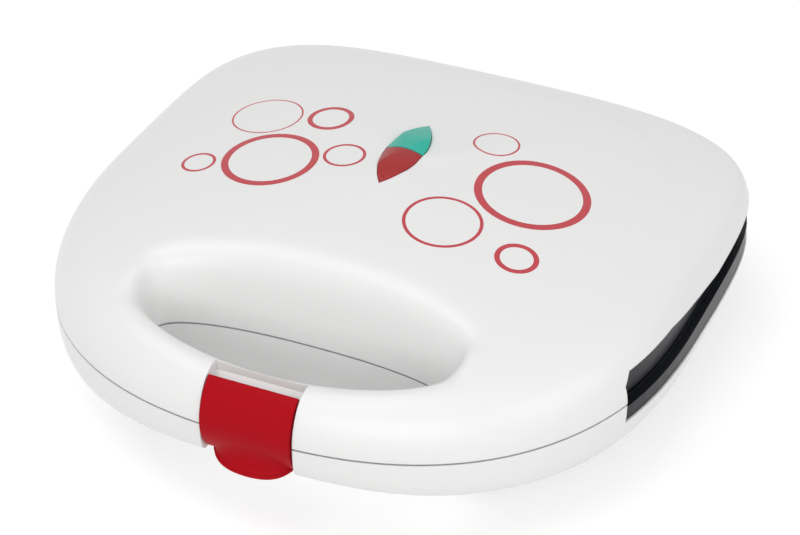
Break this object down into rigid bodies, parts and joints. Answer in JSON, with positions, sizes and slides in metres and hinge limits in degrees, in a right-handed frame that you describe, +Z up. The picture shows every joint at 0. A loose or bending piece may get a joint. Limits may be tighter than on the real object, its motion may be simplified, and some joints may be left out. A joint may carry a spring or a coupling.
{
  "type": "sandwich toaster",
  "caption": "Sandwich toaster with a hinged lid, a loop handle with a finger opening, a snap clip at the front, split indicator lens on top and plates with triangular pockets.",
  "frame": {"origin": "middle of the footprint at the level of the feet's undersides", "axes": "+X to the right along the hinge, +Y to the hinge at the back, +Z up"},
  "size_m": [0.2392, 0.2374, 0.0835],
  "materials": {
    "shell_white": "satin moulded plastic",
    "clip_red": "glossy moulded plastic",
    "frame_black": "fine matt",
    "plate_coating": "dark non-stick coating",
    "heater_steel": "dull drawn tube",
    "reflector_sheet": "bright rolled sheet",
    "bright_steel": "plated",
    "lens_green": "tinted translucent plastic",
    "lens_red": "tinted translucent plastic",
    "lamp_glass": "clear glass",
    "holder_plastic": "matt",
    "sensor_casing": "matt ceramic look",
    "lead_sleeve": "woven heat sleeve",
    "black_rubber": "soft matt"
  },
  "bodies": {
    "base": {"base_shell": "shell_white", "lower_frame": "frame_black", "lower_plate": "plate_coating", "lower_heater": "heater_steel", "lower_reflector": "reflector_sheet", "lower_plate_screws": "bright_steel", "base_screws": "bright_steel", "cord_clamp_screws": "bright_steel", "hinge_pins": "bright_steel", "thermostat": "sensor_casing", "terminal_block": "holder_plastic", "base_leads": "lead_sleeve", "cord_clamp": "frame_black", "cord_gland": "black_rubber", "rubber_feet": "black_rubber"},
    "lid": {"lid_shell": "shell_white", "upper_frame": "frame_black", "upper_plate": "plate_coating", "upper_heater": "heater_steel", "upper_reflector": "reflector_sheet", "upper_plate_screws": "bright_steel", "lid_screws": "bright_steel", "green_lens": "lens_green", "red_lens": "lens_red", "neon_lamps": "lamp_glass", "lamp_holder": "holder_plastic", "lamp_holder_screws": "bright_steel", "thermal_fuse": "sensor_casing", "lid_leads": "lead_sleeve", "clip_pin": "bright_steel"},
    "clip": {"latch_clip": "clip_red"}
  },
  "joints": [
    {"name": "lid_hinge", "type": "hinge", "parent": "base", "child": "lid", "pos_m": [0, 0.113, 0.044], "axis": [-1, 0, 0], "range_deg": [0, 100]},
    {"name": "clip_turn", "type": "hinge", "parent": "lid", "child": "clip", "pos_m": [0, -0.1077, 0.052], "axis": [-1, 0, 0], "range_deg": [0, 20]}
  ]
}
